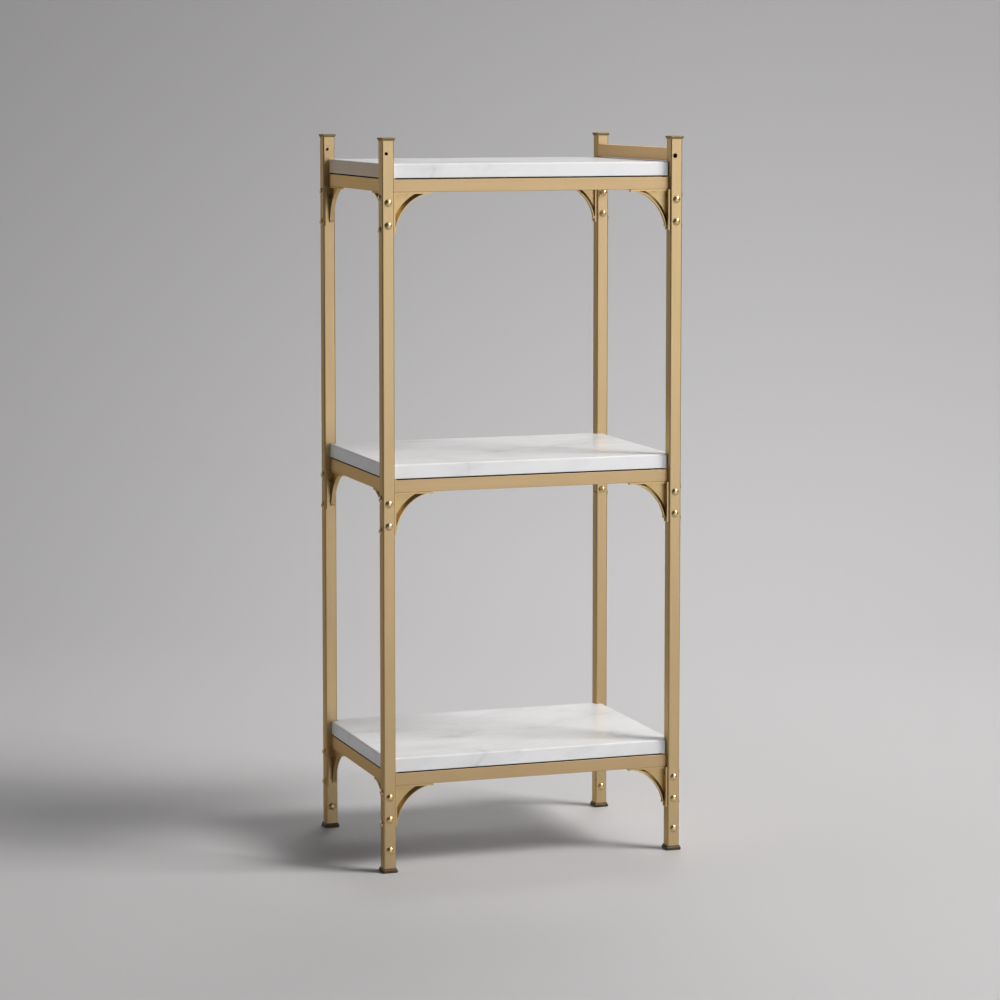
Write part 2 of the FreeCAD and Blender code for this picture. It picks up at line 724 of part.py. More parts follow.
def angle_master(name, hand, bolts):
    # plain angle; its leg takes the upper bolt: tapped on the side faces,
    # a clearance hole for a bolt with a dome nut on the front and back faces
    near = "(Params.bar_inset - Params.post_size / 2)"
    y0 = near if hand > 0 else "(-%s - Params.bar_thick)" % near
    yscrew = "(%s + Params.bar_thick / 2)" % y0
    leg = locate(prim("Part::Box", name + "_leg", Length="Params.leg_thick",
                      Width="Params.leg_width", Height="Params.angle_leg_%s" % bolts),
                 "0", "-Params.leg_width / 2", "-Params.angle_leg_%s" % bolts)
    arm = locate(prim("Part::Box", name + "_arm", Length="Params.angle_arm",
                      Width="Params.bar_thick", Height="Params.plate_thick"),
                 "0", y0, "-Params.plate_thick")
    solid = doc.addObject("Part::MultiFuse", name + "_solid")
    solid.Shapes = [leg, arm]
    solid.Refine = True
    holes = [
        locate(prim("Part::Cylinder", name + "_hole",
                    Radius="Params.tap_dia / 2" if bolts == "x" else "Params.bolt_clear / 2",
                    Height="Params.leg_thick + 4"),
               "-2", "0", "Params.pad_thick + Params.bar_height - Params.bolt_%s_one" % bolts, ALONG_X),
        locate(prim("Part::Cylinder", name + "_tap_arm", Radius="Params.plate_tap / 2",
                    Height="Params.plate_thick + 2"),
               "Params.bar_screw_at", yscrew, "-Params.plate_thick - 1")]
    drill = doc.addObject("Part::MultiFuse", name + "_drill")
    drill.Shapes = holes
    cut = doc.addObject("Part::Cut", name)
    cut.Base, cut.Tool = solid, drill
    cut.Refine = True
    doc.recompute()
    if not cut.Shape.Volume < solid.Shape.Volume - 40:
        raise RuntimeError("angle %s was not drilled" % name)
    return cut


MASTER = {}
for hand in (1, -1):
    for bolts in ("x", "y"):
        side = "%s_%s" % ("near" if hand > 0 else "far", bolts)
        MASTER[(hand, bolts, True)] = bracket_master("bracket_" + side, hand, bolts)
        MASTER[(hand, bolts, False)] = angle_master("angle_" + side, hand, bolts)
# the one arched bracket under a back bar has its rim towards the front
inward = bracket_master("bracket_near_x_inward", 1, "x", False)


def bracket(name, tier, sx, sy, along):
    # along "x": on the post's inner side face, under the front or back apron;
    # along "y": on the post's inner front or back face, under a side apron
    off = "Params.post_size / 2"
    z = "Params.tier_%s - Params.pad_thick - Params.bar_height" % tier
    px, py = corner_xy(sx, sy)
    if along == "x":
        turn = 0 if sx < 0 else 180
        hand = 1 if sx * sy > 0 else -1
        x = "%s (Params.post_x - %s)" % ("-" if sx < 0 else "+", off)
        y = py
        bolts = "x"
    else:
        turn = 90 if sy < 0 else -90
        hand = -1 if sx * sy > 0 else 1
        x = px
        y = "%s (Params.post_y - %s)" % ("-" if sy < 0 else "+", off)
        bolts = "y"
    body = new_body(name)
    c = body.newObject("PartDesign::FeatureBase", name + "_shape")
    c.BaseFeature = MASTER[(hand, bolts, arched(tier, sx, sy, along))]
    if along == "x" and sy > 0 and arched(tier, sx, sy, along):
        c.BaseFeature = inward
    body.Tip = c
    put(body, x, y, z, turn)
    doc.recompute()
    nodes.append(body)


for t in TIERS:
    for cname, sx, sy in CORNERS:
        fb, lr = cname.split("_")
        for along, one, other in (("x", fb, lr), ("y", lr, fb)):
            kind = "bracket" if arched(t, sx, sy, along) else "angle"
            bracket("%s_%s_%s_at_%s" % (TIER_NAME[t], one, kind, other), t, sx, sy, along)

# ---------------------------------------------------------------- fasteners
# One master of each, turned about its axis; each node is a group of placed
# copies. The masters' axis is Z, the head on top, the shank going down from
# the seat at z = 0.


def turned(name, points):
    # revolve a closed outline of (radius, height) points about Z; a point of
    # four values starts an arc, its middle near the last two, centred on Z
    body = new_body(name)
    s = new_sketch(body, name + "_profile", "XZ_Plane")
    g = []
    n = len(points)
    for i in range(n):
        a, b = points[i], points[(i + 1) % n]
        pa = Vector(val(a[0]), val(a[1]), 0)
        pb = Vector(val(b[0]), val(b[1]), 0)
        if len(a) == 4:
            pm = Vector(val(a[2]), val(a[3]), 0)
            arc = Part.Arc(pa, pm, pb)
            g.append((s.addGeometry(arc, False), True, arc))
        else:
            g.append((s.addGeometry(Part.LineSegment(pa, pb), False), False, None))
    # ends: an arc's start and end follow its own direction, so match by place
    ends = []
    for (gi, is_arc, _), i in zip(g, range(n)):
        pa = Vector(val(points[i][0]), val(points[i][1]), 0)
        first = s.getPoint(gi, 1)
        if first.distanceToPoint(pa) < 1e-6:
            ends.append((1, 2))
        else:
            ends.append((2, 1))
    for i in range(n):
        j = (i + 1) % n
        s.addConstraint(Sketch("Coincident", g[i][0], ends[i][1], g[j][0], ends[j][0]))
    for i in range(n):
        for kind, axis, k in (("DistanceX", -2, 0), ("DistanceY", -1, 1)):
            v = val(points[i][k])
            if abs(v) < 1e-9:
                s.addConstraint(Sketch("PointOnObject", g[i][0], ends[i][0], axis))
            else:
                c = s.addConstraint(Sketch(kind, -1, 1, g[i][0], ends[i][0], v))
                bind(s, c, "%s%d" % ("xy"[k], i), points[i][k])
    for gi, is_arc, _ in g:
        if is_arc:
            s.addConstraint(Sketch("PointOnObject", gi, 3, -2))
    r = body.newObject("PartDesign::Revolution", name + "_turned")
    r.Profile = s
    r.ReferenceAxis = (s, ["V_Axis"])
    r.Angle = 360
    doc.recompute()
    if body.Shape.isNull() or body.Shape.Volume < 1:
        raise RuntimeError("turned piece %s is empty" % name)
    return body


def dome_nut(name):
    # blind bore from the seat at z = 0
    base, r, h = "Params.nut_base", "Params.nut_dia / 2", "Params.nut_height"
    rise, rad = P("nut_height") - P("nut_base"), P("nut_dia") / 2
    ball = (rad * rad + rise * rise) / (2 * rise)
    a = math.asin(rad / ball) / 2
    mid_x = "Params.nut_dia * %.4f" % (ball * math.sin(a) / (2 * rad))
    mid_z = "Params.nut_base + (Params.nut_height - Params.nut_base) * %.4f" % (
        (rise - ball * (1 - math.cos(a))) / rise)
    return turned(name, [
        ("0", "Params.nut_depth"),
        ("Params.nut_bore / 2", "Params.nut_depth"),
        ("Params.nut_bore / 2", "0"),
        (r, "0"),
        (r, base, mid_x, mid_z),
        ("0", h),
    ])


def dome_bolt(name, length):
    rim, rd, dh = "Params.dome_rim", "Params.dome_dia / 2", "Params.dome_height"
    mid_x = "Params.dome_dia * 0.2806"
    mid_z = "Params.dome_rim + (Params.dome_height - Params.dome_rim) * 0.7356"
    return turned(name, [
        ("0", "-" + length),
        ("Params.bolt_dia / 2 - 0.8", "-" + length),
        ("Params.bolt_dia / 2", "0.8 - " + length),
        ("Params.bolt_dia / 2", "0"),
        (rd, "0"),
        (rd, rim, mid_x, mid_z),
        ("0", dh),
    ])


bolt = dome_bolt("dome_bolt_master", "Params.bolt_length")
nut_bolt = dome_bolt("nut_bolt_master", "Params.nut_bolt")
long_bolt = dome_bolt("long_bolt_master", "Params.long_bolt")
foot_bolt = dome_bolt("foot_bolt_master", "Params.foot_bolt_length")
apron_screw = turned("apron_screw_master", [
    ("0", "-Params.apron_screw_length"),
    ("Params.apron_screw_dia / 2", "-Params.apron_screw_length"),
    ("Params.apron_screw_dia / 2", "-Params.apron_screw_cone"),
    ("Params.apron_screw_head / 2", "0"),
    ("0", "0"),
])
rail_screw = turned("rail_screw_master", [
    ("0", "-Params.rail_screw_length"),
    ("Params.rail_screw_dia / 2", "-Params.rail_screw_length"),
    ("Params.rail_screw_dia / 2", "0"),
    ("Params.rail_screw_head / 2", "0"),
    ("Params.rail_screw_head / 2", "Params.rail_screw_head_h"),
    ("0", "Params.rail_screw_head_h"),
])
# drive recesses: hexagon in the rail screws and in the apron screws' heads


def hex_recess(body, name, top, depth, across):
    s = new_sketch(body, name + "_hex", "XY_Plane", top)
    r = val(across) / math.sqrt(3)
    pts = [Vector(r * math.cos(math.radians(60 * i)), r * math.sin(math.radians(60 * i)), 0)
           for i in range(6)]
    for i in range(6):
        s.addGeometry(Part.LineSegment(pts[i], pts[(i + 1) % 6]), False)
    for i in range(6):
        s.addConstraint(Sketch("Coincident", i, 2, (i + 1) % 6, 1))
    k = s.addGeometry(Part.Circle(Vector(0, 0, 0), Vector(0, 0, 1), r), True)
    s.addConstraint(Sketch("Coincident", k, 3, -1, 1))
    for i in range(6):
        s.addConstraint(Sketch("PointOnObject", i, 1, k))
        if i:
            s.addConstraint(Sketch("Equal", 0, i))
    s.addConstraint(Sketch("PointOnObject", 0, 1, -1))
    c = s.addConstraint(Sketch("Diameter", k, 2 * r))
    bind(s, c, "across_corners", "%s * 2 / sqrt(3)" % across)
    pocket(body, name + "_recess", s, depth)


hex_recess(rail_screw, "rail_screw", "Params.rail_screw_head_h", "2.2", "Params.hex_key")
hex_recess(apron_screw, "apron_screw", "0", "1.2", "2.0")


def group(name, pieces):
    # pieces: (master, placement)
    links = []
    for i, (master, pl) in enumerate(pieces):
        k = doc.addObject("App::Link", "%s_%d" % (name, i + 1))
        k.LinkedObject = master
        k.LinkPlacement = pl
        links.append(k)
    g = doc.addObject("Part::Compound", name)
    g.Label = name
    g.Links = links
    doc.recompute()
    nodes.append(g)
    return g


HEAD_FRONT = Rotation(Vector(1, 0, 0), 90)     # head toward -Y
HEAD_BACK = Rotation(Vector(1, 0, 0), -90)     # head toward +Y
HEAD_LEFT = Rotation(Vector(0, 1, 0), -90)     # head toward -X
HEAD_RIGHT = Rotation(Vector(0, 1, 0), 90)     # head toward +X

nut = dome_nut("dome_nut_master")
half = P("post_size") / 2
in_y, in_x, nuts = [], [], []
for t in TIERS:
    under = P("tier_" + t)
    for cname, sx, sy in CORNERS:
        x, y = sx * P("post_x"), sy * P("post_y")
        for k in ("one", "two"):
            # front to back: into a bracket's leg, or through to a dome nut
            z = under - P("bolt_y_" + k)
            kind = bolt
            if not arched(t, sx, sy, "y"):
                kind = long_bolt if k == "one" else nut_bolt
                seat = half + (P("leg_thick") if k == "one" else 0)
                nuts.append((nut, Placement(Vector(x, y - sy * seat, z), HEAD_BACK if sy < 0 else HEAD_FRONT)))
            in_y.append((kind, Placement(Vector(x, y + sy * half, z), HEAD_FRONT if sy < 0 else HEAD_BACK)))
            # side to side: into a leg, or the post's own inner wall
            z = under - P("bolt_x_" + k)
            in_x.append((bolt, Placement(Vector(x + sx * half, y, z), HEAD_LEFT if sx < 0 else HEAD_RIGHT)))
group("front_and_back_bolts", in_y)
group("side_bolts", in_x)
group("dome_nuts", nuts)
group("foot_bolts", [
    (foot_bolt, Placement(Vector(sx * P("post_x"), sy * P("post_y") - half, P("foot_bolt_z")), HEAD_FRONT))
    for cname, sx, sy in CORNERS])

# apron screws: down from the bars' top faces into the brackets' plates
bar_off = half - P("bar_inset") - P("bar_thick") / 2
sink = (P("bar_screw_clear") / 2 + P("bar_screw_sink")) - P("apron_screw_head") / 2
screws = []
for t in TIERS:
    z = P("tier_" + t) - P("pad_thick") - sink
    for cname, sx, sy in CORNERS:
        cx, cy = sx * P("post_x"), sy * P("post_y")
        bx, by = sx * (P("post_x") + bar_off), sy * (P("post_y") + bar_off)
        step = half + P("bar_screw_at")
        screws.append((apron_screw, Placement(Vector(cx - sx * step, by, z), Rotation())))
        screws.append((apron_screw, Placement(Vector(bx, cy - sy * step, z), Rotation())))
group("apron_screws", screws)

# rail screws: heads seat on the inside of the posts' inner walls
seat = half - P("post_wall")
rx = P("post_x") - P("rail_hole_off")
rz = P("rail_low") + P("rail_hole_up")
group("rail_screws", [
    (rail_screw, Placement(Vector(rx, -P("post_y") + seat, rz), HEAD_FRONT)),
    (rail_screw, Placement(Vector(rx, P("post_y") - seat, rz), HEAD_BACK))])

# ---------------------------------------------------------------- shelf pads
# Rubber strips on the bars' top faces, a little behind their outer faces:
# they fill the thin dark gap under each slab.
STRIP = {}
for kind, post in (("x", "post_x"), ("y", "post_y")):
    STRIP[kind] = prim("Part::Box", "strip_" + kind,
                       Length="2 * (Params.%s - Params.post_size / 2 - Params.pad_end_gap)" % post,
                       Width="Params.pad_width", Height="Params.pad_thick")
doc.recompute()
pads = []
wide = P("pad_width") / 2
for t in TIERS:
    z = P("tier_" + t) - P("pad_thick")
    run = P("post_x") - half - P("pad_end_gap")
    for sy in (-1, 1):
        pads.append((STRIP["x"], Placement(Vector(-run, sy * (P("post_y") + bar_off) - wide, z), Rotation())))
    run = P("post_y") - half - P("pad_end_gap")
    for sx in (-1, 1):
        pads.append((STRIP["y"], Placement(Vector(sx * (P("post_x") + bar_off) + wide, -run, z),
                                           Rotation(Vector(0, 0, 1), 90))))
group("shelf_pads", pads)

# ---------------------------------------------------------------- checks, export
doc.recompute()
bad = [o.Name for o in doc.Objects if "Invalid" in o.State or "Error" in o.State]
if bad:
    raise RuntimeError("failed objects: " + ", ".join(bad))
if len(nodes) > 60:
    raise RuntimeError("too many sub-parts: %d" % len(nodes))
os.makedirs("parts", exist_ok=True)
for old in os.listdir("parts"):
    if old.endswith(".step"):
        os.remove(os.path.join("parts", old))
for n in nodes:
    shape = n.Shape
    if shape.isNull() or not shape.isValid() or not shape.Solids:
        raise RuntimeError("bad shape: " + n.Label)
    shape.exportStep(os.path.join("parts", n.Label + ".step"))
    print("%-34s solids %2d volume %11.1f" % (n.Label, len(shape.Solids), shape.Volume))
print("%d sub-parts" % len(nodes))
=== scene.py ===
import bpy
import math
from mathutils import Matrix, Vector

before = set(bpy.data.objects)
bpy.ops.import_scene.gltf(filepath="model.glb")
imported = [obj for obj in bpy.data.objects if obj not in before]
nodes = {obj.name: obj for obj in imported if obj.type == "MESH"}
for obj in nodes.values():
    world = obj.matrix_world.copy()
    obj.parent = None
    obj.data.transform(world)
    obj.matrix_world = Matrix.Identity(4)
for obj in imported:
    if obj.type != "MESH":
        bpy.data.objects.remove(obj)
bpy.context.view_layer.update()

# ------------------------------------------------------------ node helpers


class Tree:
    """Short names for building one material's node tree."""

    def __init__(self, name):
        self.mat = bpy.data.materials.new(name)
        self.mat.use_nodes = True
        self.nt = self.mat.node_tree
        self.nt.nodes.clear()
        self.out = self.nt.nodes.new("ShaderNodeOutputMaterial")
        self.bsdf = self.nt.nodes.new("ShaderNodeBsdfPrincipled")
        self.nt.links.new(self.bsdf.outputs[0], self.out.inputs[0])
        tc = self.nt.nodes.new("ShaderNodeTexCoord")
        self.obj = tc.outputs["Object"]
        self.normal = tc.outputs["Normal"]

    def node(self, kind, **settings):
        n = self.nt.nodes.new(kind)
        for k, v in settings.items():
            setattr(n, k, v)
        return n

    def link(self, a, b):
        self.nt.links.new(a, b)

    def put(self, socket, value):
        if hasattr(value, "is_linked") or hasattr(value, "links"):
            self.link(value, socket)
        else:
            socket.default_value = value

    def coords(self, scale=(1, 1, 1), loc=(0, 0, 0), rot=(0, 0, 0), vec=None):
        m = self.node("ShaderNodeMapping")
        m.inputs["Scale"].default_value = scale
        m.inputs["Location"].default_value = loc
        m.inputs["Rotation"].default_value = rot
        self.link(vec or self.obj, m.inputs["Vector"])
        return m.outputs[0]

    def noise(self, vec, scale, detail=3.0, rough=0.5, distort=0.0):
        n = self.node("ShaderNodeTexNoise")
        n.inputs["Scale"].default_value = scale
        n.inputs["Detail"].default_value = detail
        n.inputs["Roughness"].default_value = rough
        n.inputs["Distortion"].default_value = distort
        self.link(vec, n.inputs["Vector"])
        return n

    def ramp(self, fac, stops, mode="EASE"):
        r = self.node("ShaderNodeValToRGB")
        r.color_ramp.interpolation = mode
        el = r.color_ramp.elements
        while len(el) < len(stops):
            el.new(0.5)
        for e, (pos, col) in zip(el, stops):
            e.position = pos
            e.color = col if len(col) == 4 else (*col, 1.0)
        self.link(fac, r.inputs[0])
        return r.outputs[0]

    def math(self, op, a, b=None, c=None, clamp=False):
        m = self.node("ShaderNodeMath", operation=op, use_clamp=clamp)
        for i, v in enumerate((a, b, c)):
            if v is not None:
                self.put(m.inputs[i], v)
        return m.outputs[0]

    def remap(self, v, a, b, c, d, smooth=False):
        m = self.node("ShaderNodeMapRange")
        if smooth:
            m.interpolation_type = "SMOOTHSTEP"
        self.link(v, m.inputs[0])
        for i, x in enumerate((a, b, c, d)):
            m.inputs[i + 1].default_value = x
        return m.outputs[0]

    def mix(self, fac, a, b, blend="MIX"):
        m = self.node("ShaderNodeMix", data_type="RGBA", blend_type=blend)
        self.put(m.inputs["Factor"], fac)
        self.put(m.inputs[6], a)
        self.put(m.inputs[7], b)
        return m.outputs[2]

    def dot(self, vec, axis):
        m = self.node("ShaderNodeVectorMath", operation="DOT_PRODUCT")
        self.link(vec, m.inputs[0])
        m.inputs[1].default_value = axis
        return m.outputs["Value"]

    def bump(self, height, strength, distance):
        b = self.node("ShaderNodeBump")
        b.inputs["Strength"].default_value = strength
        b.inputs["Distance"].default_value = distance
        self.link(height, b.inputs["Height"])
        self.link(b.outputs[0], self.bsdf.inputs["Normal"])
        return b

    def set(self, **values):
        for k, v in values.items():
            self.put(self.bsdf.inputs[k.replace("_", " ")], v)


# -------------------------------------------------------------- materials


def gold(name, grain, base=(0.556, 0.404, 0.214), rough=0.41, cast=False, depth=None):
    """Satin gold coating; grain is the axis the fine brush lines follow.
    depth: the axis through a bracket, whose sloped faces get painted shade,
    a darker olive tone than its flat ones that stands in for shade in the hollow."""
    t = Tree(name)
    stretch = {"x": (6, 900, 900), "y": (900, 6, 900), "z": (900, 900, 6), "": (420, 420, 420)}[grain]
    lines = t.noise(t.coords(stretch), 1.0, 2.0, 0.6).outputs[0]
    cloud = t.noise(t.obj, 7.0, 3.0, 0.55).outputs[0]
    speck = t.noise(t.obj, 900.0, 1.0, 0.5).outputs[0]
    low = tuple(c * 0.965 for c in base) + (1,)
    high = tuple(c * 1.035 for c in base) + (1,)
    dark = tuple(c * 0.80 for c in base) + (1,)
    col = t.mix(t.remap(cloud, 0.3, 0.7, 0.0, 1.0, True), low, high)
    col = t.mix(t.remap(lines, 0.25, 0.75, 0.0, 0.20), col, dark)
    # painted shade: a bracket's sloped faces are darkened towards dark olive, standing in for the shade in the hollow
    # of its arch
    if depth is not None:
        turn = t.math("ABSOLUTE", t.dot(t.normal, depth))
        ramp_shade_mask = t.math("MULTIPLY", t.remap(turn, 0.58, 0.68, 0.0, 1.0, True),
                       t.remap(turn, 0.84, 0.94, 1.0, 0.0, True))
        painted_shade_tone = tuple(c * k for c, k in zip(base, (0.32, 0.33, 0.33))) + (1,)
        col = t.mix(ramp_shade_mask, col, t.mix(t.remap(cloud, 0.3, 0.7, 0.0, 0.3, True), painted_shade_tone, dark))
    t.set(Base_Color=col, Metallic=0.95)
    t.bsdf.inputs["Specular Tint"].default_value = (1.0, 0.82, 0.50, 1)
    r = t.math("ADD", t.remap(cloud, 0.3, 0.7, rough - 0.03, rough + 0.03),
               t.remap(lines, 0.3, 0.7, -0.03, 0.03))
    t.set(Roughness=r)
    height = t.math("ADD", t.math("MULTIPLY", lines, 0.7 if not cast else 0.2),
                    t.math("MULTIPLY", speck, 0.25 if not cast else 0.8))
    t.bump(height, 0.12 if not cast else 0.22, 0.00012)
    return t.mat


def polished_gold(name):
    t = Tree(name)
    cloud = t.noise(t.obj, 160.0, 2.0, 0.5).outputs[0]
    base = t.mix(t.remap(cloud, 0.35, 0.65, 0.0, 1.0), (0.66, 0.48, 0.24, 1), (0.74, 0.55, 0.29, 1))
    t.set(Base_Color=base, Metallic=1.0, Roughness=t.remap(cloud, 0.3, 0.7, 0.30, 0.38))
    t.bump(t.noise(t.obj, 700.0, 1.0).outputs[0], 0.05, 0.0001)
    return t.mat


def bronze(name):
    t = Tree(name)
    cloud = t.noise(t.obj, 120.0, 3.0, 0.6).outputs[0]
    base = t.mix(t.remap(cloud, 0.35, 0.65, 0.0, 1.0), (0.060, 0.045, 0.024, 1), (0.11, 0.083, 0.045, 1))
    t.set(Base_Color=base, Metallic=0.75, Roughness=t.remap(cloud, 0.3, 0.7, 0.36, 0.5))
    t.bump(t.noise(t.obj, 500.0, 2.0).outputs[0], 0.15, 0.0002)
    return t.mat


def rubber(name):
    t = Tree(name)
    n = t.noise(t.obj, 600.0, 2.0, 0.6).outputs[0]
    t.set(Base_Color=t.mix(n, (0.014, 0.009, 0.005, 1), (0.022, 0.014, 0.008, 1)), Roughness=0.9, Specular_IOR_Level=0.15)
    t.bump(n, 0.3, 0.0002)
    return t.mat


def steel(name):
    t = Tree(name)
    n = t.noise(t.obj, 300.0, 2.0, 0.6).outputs[0]
    t.set(Base_Color=t.mix(n, (0.50, 0.50, 0.51, 1), (0.62, 0.62, 0.63, 1)), Metallic=1.0,
          Roughness=t.remap(n, 0.3, 0.7, 0.28, 0.4))
    t.bump(n, 0.1, 0.0001)
    return t.mat


def marble(name, shift, veins, seed, painted_reflection=0.0):
    """Polished white stone. veins: (normal, point, width, strength, wobble,
    reach) of planes through the slab, so each vein runs on from the top to
    the edges; reach is how far behind the front it dies out. warm: how much
    painted reflection the left face has, a brownish tone standing in for warm light bounced off the gold."""
    t = Tree(name)
    here = t.coords(loc=shift)
    warp = t.noise(here, 4.2, 4.0, 0.55).outputs[1]
    fine = t.noise(here, 16.0, 4.0, 0.6).outputs[1]
    # warped position
    w = t.node("ShaderNodeVectorMath", operation="SUBTRACT")
    t.link(warp, w.inputs[0])
    w.inputs[1].default_value = (0.5, 0.5, 0.5)
    f = t.node("ShaderNodeVectorMath", operation="SUBTRACT")
    t.link(fine, f.inputs[0])
    f.inputs[1].default_value = (0.5, 0.5, 0.5)
    cloud_a = t.noise(t.coords((1.0, 1.6, 1.6), (seed, 0, 0), (0, 0, 0.35), here), 6.5, 5.0, 0.55, 0.6).outputs[0]
    cloud_b = t.noise(t.coords((1.0, 2.4, 2.4), (0, seed, 0), (0, 0, -0.5), here), 11.0, 4.0, 0.6, 0.9).outputs[0]
    grey = t.math("ADD", t.math("MULTIPLY", t.remap(cloud_a, 0.46, 0.78, 0.0, 1.0, True), 0.32),
                  t.math("MULTIPLY", t.remap(cloud_b, 0.52, 0.80, 0.0, 1.0, True), 0.22))
    total = grey
    for normal, point, width, strength, wobble, reach in veins:
        n = Vector(normal).normalized()
        offset = n.dot(Vector(point) + Vector(shift))
        d = t.dot(here, tuple(n))
        d = t.math("ADD", d, t.math("MULTIPLY", t.dot(w.outputs[0], (1.0, 0.7, 0.4)), wobble))
        d = t.math("ADD", d, t.math("MULTIPLY", t.dot(f.outputs[0], (0.6, 1.0, 0.5)), wobble * 0.28))
        d = t.math("ABSOLUTE", t.math("SUBTRACT", d, offset))
        line = t.remap(d, 0.0, width, 1.0, 0.0, True)
        halo = t.remap(d, 0.0, width * 4.0, 0.45, 0.0, True)
        along = t.remap(t.noise(t.coords(loc=(seed, offset, 1)), 9.0, 2.0).outputs[0], 0.36, 0.62, 0.25, 1.0, True)
        v = t.math("MULTIPLY", t.math("MULTIPLY", t.math("MAXIMUM", line, halo), along), strength)
        v = t.math("MULTIPLY", v, t.remap(t.dot(t.obj, (0, 1, 0)), -0.150, -0.150 + reach, 1.0, 0.0, True))
        total = t.math("ADD", total, v)
    total = t.math("MINIMUM", total, 1.0)
    col = t.mix(total, (0.945, 0.945, 0.951, 1), (0.560, 0.562, 0.572, 1))
    # painted reflection: the left face is tinted brownish, standing in for warm light bounced off the gold parts
    if painted_reflection:
        left = t.remap(t.dot(t.normal, (1, 0, 0)), -0.98, -0.90, painted_reflection, 0.0, True)
        col = t.mix(left, col, (0.92, 0.66, 0.42, 1))
    t.set(Base_Color=col, Specular_IOR_Level=0.25, IOR=1.5)
    t.set(Roughness=t.remap(cloud_b, 0.3, 0.7, 0.20, 0.27))
    t.set(Subsurface_Weight=0.06, Subsurface_Scale=0.01)
    t.bsdf.inputs["Subsurface Radius"].default_value = (1.0, 0.95, 0.9)
    t.bump(cloud_b, 0.02, 0.001)
    return t.mat


gold_x = gold("gold_grain_x", "x", (0.548, 0.388, 0.208), 0.44)
# painted light: a brighter copy of the gold for the side aprons and the other unlisted parts, whose seen faces turn
# left into shade
gold_y_painted_light = gold("gold_grain_y_painted_light", "y", (0.690, 0.485, 0.260), 0.46)
gold_z = gold("gold_grain_z", "z")
gold_cast_x = gold("gold_cast_x", "", (0.590, 0.422, 0.205), 0.42, True, (1, 0, 0))
gold_cast_y = gold("gold_cast_y", "", (0.590, 0.422, 0.205), 0.42, True, (0, 1, 0))
# painted light: a brighter copy of the gold for the rail, whose seen face turns left into shade
gold_rail_painted_light = gold("gold_rail_painted_light", "y", (0.800, 0.565, 0.315), 0.48)
gold_cap = gold("gold_cap", "", (0.250, 0.190, 0.098), 0.42, True)
bolt_gold = polished_gold("bolt_gold")
foot_bronze = bronze("foot_bronze")
pad_rubber = rubber("pad_rubber")
screw_steel = steel("screw_steel")

marbles = {
    "top_shelf_slab": marble("marble_top", (0.31, 0.17, 0.0), [
        ((1.0, 0.12, 0.1), (-0.083, -0.150, 0.99), 0.0030, 0.20, 0.03, 0.12),
        ((0.6, -0.8, 0.2), (0.06, 0.03, 0.99), 0.0060, 0.25, 0.12, 9.0)], 2.3, 0.75),
    "middle_shelf_slab": marble("marble_middle", (0.12, 0.43, 0.1), [
        ((1.0, 0.5, 0.05), (-0.098, -0.150, 0.57), 0.0060, 0.28, 0.06, 0.10),
        ((0.35, -0.93, 0.1), (0.02, -0.02, 0.57), 0.0100, 0.35, 0.16, 9.0)], 5.1),
    "bottom_shelf_slab": marble("marble_bottom", (0.0, 0.0, 0.0), [
        ((0.75, 0.25, -0.62), (-0.081, -0.150, 0.152), 0.0085, 0.95, 0.030, 0.05),
        ((0.30, 0.95, 0.1), (-0.05, -0.03, 0.152), 0.0100, 0.38, 0.16, 9.0),
        ((-0.25, 0.97, 0.1), (0.10, 0.03, 0.152), 0.0120, 0.34, 0.14, 9.0)], 8.7),
}


def finish_for(name):
    if name in marbles:
        return marbles[name]
    if name.endswith("_foot"):
        return foot_bronze
    if name.endswith("_bolts") or name == "dome_nuts":
        return bolt_gold
    if name == "shelf_pads":
        return pad_rubber
    if name.endswith("_screws"):
        return screw_steel
    if name.endswith("_post"):
        return gold_z
    if name.endswith("_cap"):
        return gold_cap
    if "_bracket_at_" in name or "_angle_at_" in name:
        return gold_cast_x if "_left_" in name.split("_at_")[0] or "_right_" in name.split("_at_")[0] else gold_cast_y
    if name == "gallery_rail":
        return gold_rail_painted_light
    if name.endswith("_front_apron") or name.endswith("_back_apron"):
        return gold_x
    return gold_y_painted_light


for name, o in nodes.items():
    m = finish_for(name)
    if not o.material_slots:
        o.data.materials.append(m)
    for s in o.material_slots:
        s.material = m

# small eased edges on what the CAD leaves sharp
for name, o in nodes.items():
    if "_bracket_at_" in name or "_angle_at_" in name or name.endswith("_post") or name.endswith("_apron") or name == "gallery_rail":
        b = o.modifiers.new("eased", "BEVEL")
        b.width = 0.0003 if "_bracket_at_" in name else 0.0002
        b.segments = 2
        b.limit_method = "ANGLE"
        b.angle_limit = math.radians(40)
        b.harden_normals = False
        b.use_clamp_overlap = True

# ------------------------------------------------------------------ stage
# Plain pale floor that curves up into a backdrop.


def sweep():
    pts = []
    depth, radius, high = 4.6, 3.0, 7.0
    pts.append((-7.5, 0.0))
    pts.append((depth - radius, 0.0))
    for i in range(1, 25):
        a = math.radians(90.0 * i / 24)
        pts.append((depth - radius + radius * math.sin(a), radius - radius * math.cos(a)))
    pts.append((depth, high))
    me = bpy.data.meshes.new("backdrop")
    v, f = [], []
    for (y, z) in pts:
        v.append((-9.0, y, z))
        v.append((9.0, y, z))
    for i in range(len(pts) - 1):
        f.append((2 * i, 2 * i + 1, 2 * i + 3, 2 * i + 2))
    me.from_pydata(v, [], f)
    for p in me.polygons:
        p.use_smooth = True
    o = bpy.data.objects.new("backdrop", me)
    bpy.context.scene.collection.objects.link(o)
    t = Tree("stage_grey")
    n = t.noise(t.obj, 0.8, 2.0).outputs[0]
    t.set(Base_Color=t.mix(n, (0.607, 0.598, 0.602, 1), (0.627, 0.618, 0.622, 1)), Roughness=0.75)
    t.bsdf.inputs["Specular IOR Level"].default_value = 0.2
    o.data.materials.append(t.mat)
    # turned so that its back faces the camera squarely
    o.rotation_euler = (0, 0, -YAW)
    return o


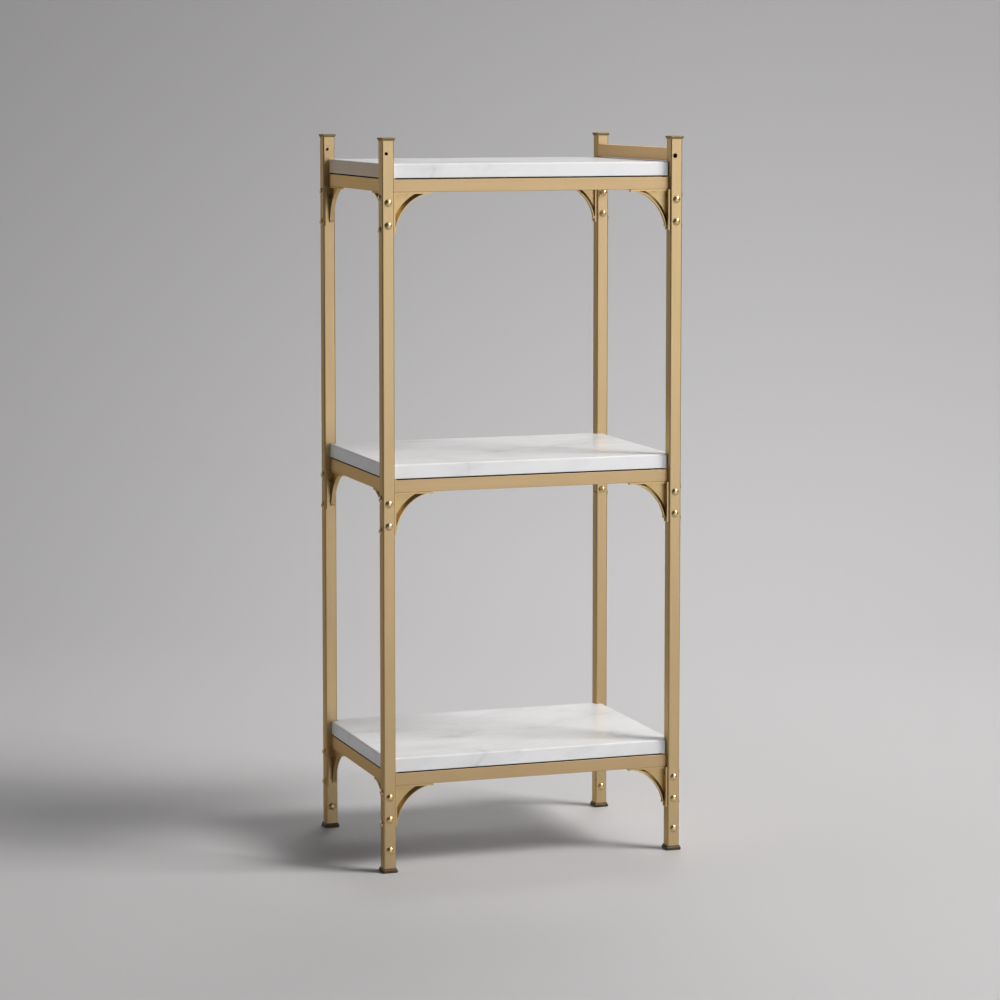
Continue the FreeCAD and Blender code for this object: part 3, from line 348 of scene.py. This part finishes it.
# ----------------------------------------------------------------- camera
YAW = math.radians(18.72)
cam_data = bpy.data.cameras.new("camera")
cam_data.sensor_width = 36.0
cam_data.sensor_fit = "HORIZONTAL"
cam_data.lens = 3271.1 * 36.0 / 1000.0
cam_data.shift_x = -0.00113
cam_data.shift_y = -0.12
cam_data.clip_end = 100.0
cam = bpy.data.objects.new("camera", cam_data)
cam.location = (-1.5379, -4.5201, 1.1238)
cam.rotation_euler = (math.radians(90 - 5.2899), 0, -math.radians(18.8401))
bpy.context.scene.collection.objects.link(cam)
bpy.context.scene.camera = cam

sweep()

# ------------------------------------------------------------------ light
right = Vector((math.cos(YAW), -math.sin(YAW), 0))
ahead = Vector((math.sin(YAW), math.cos(YAW), 0))
up = Vector((0, 0, 1))


def area(name, at, aim, size, size_y, power, colour=(1, 1, 1), spread=180):
    d = bpy.data.lights.new(name, "AREA")
    d.shape = "RECTANGLE"
    d.size, d.size_y = size, size_y
    d.energy = power
    d.color = colour
    d.spread = math.radians(spread)
    o = bpy.data.objects.new(name, d)
    o.location = at
    o.rotation_euler = (Vector(aim) - Vector(at)).to_track_quat("-Z", "Y").to_euler()
    bpy.context.scene.collection.objects.link(o)
    return o


area("key", right * 3.9 - ahead * 1.1 + up * 4.1, (0, 0, 0.3), 1.9, 1.9, 252, (1.0, 0.99, 0.975))
area("front_box", right * 2.83 - ahead * 3.62 + up * 0.95, (0, 0, 0.40), 3.6, 2.1, 42, (0.98, 1.0, 1.05))
area("top_box", right * 0.9 + ahead * 0.2 + up * 3.5, (0, 0, 0), 1.8, 1.8, 8)
area("left_fill", right * -3.8 + ahead * 1.6 + up * 1.6, (0, 0, 0.6), 2.2, 2.0, 17)
area("back_high", right * 0.5 + ahead * 2.9 + up * 3.1, (0, 0, 0.4), 1.8, 1.4, 3.6, (1, 1, 1), 60)
area("wash", right * 0.6 + ahead * 1.4 + up * 2.6, right * 0.2 + ahead * 2.35, 0.8, 0.8, 6.5, (1, 1, 1), 100)
area("wash_high", right * 0.9 + ahead * 1.8 + up * 3.0, right * 0.4 + ahead * 3.8 + up * 1.0, 0.8, 0.8, 1.5, (1, 1, 1), 110)

world = bpy.data.worlds.new("soft_room")
world.use_nodes = True
bg = world.node_tree.nodes["Background"]
bg.inputs[0].default_value = (0.80, 0.80, 0.81, 1)
bg.inputs[1].default_value = 0.05
bpy.context.scene.world = world

view = bpy.context.scene.view_settings
view.view_transform = "Standard"
view.look = "None"
view.exposure = 0.0
view.gamma = 1.0
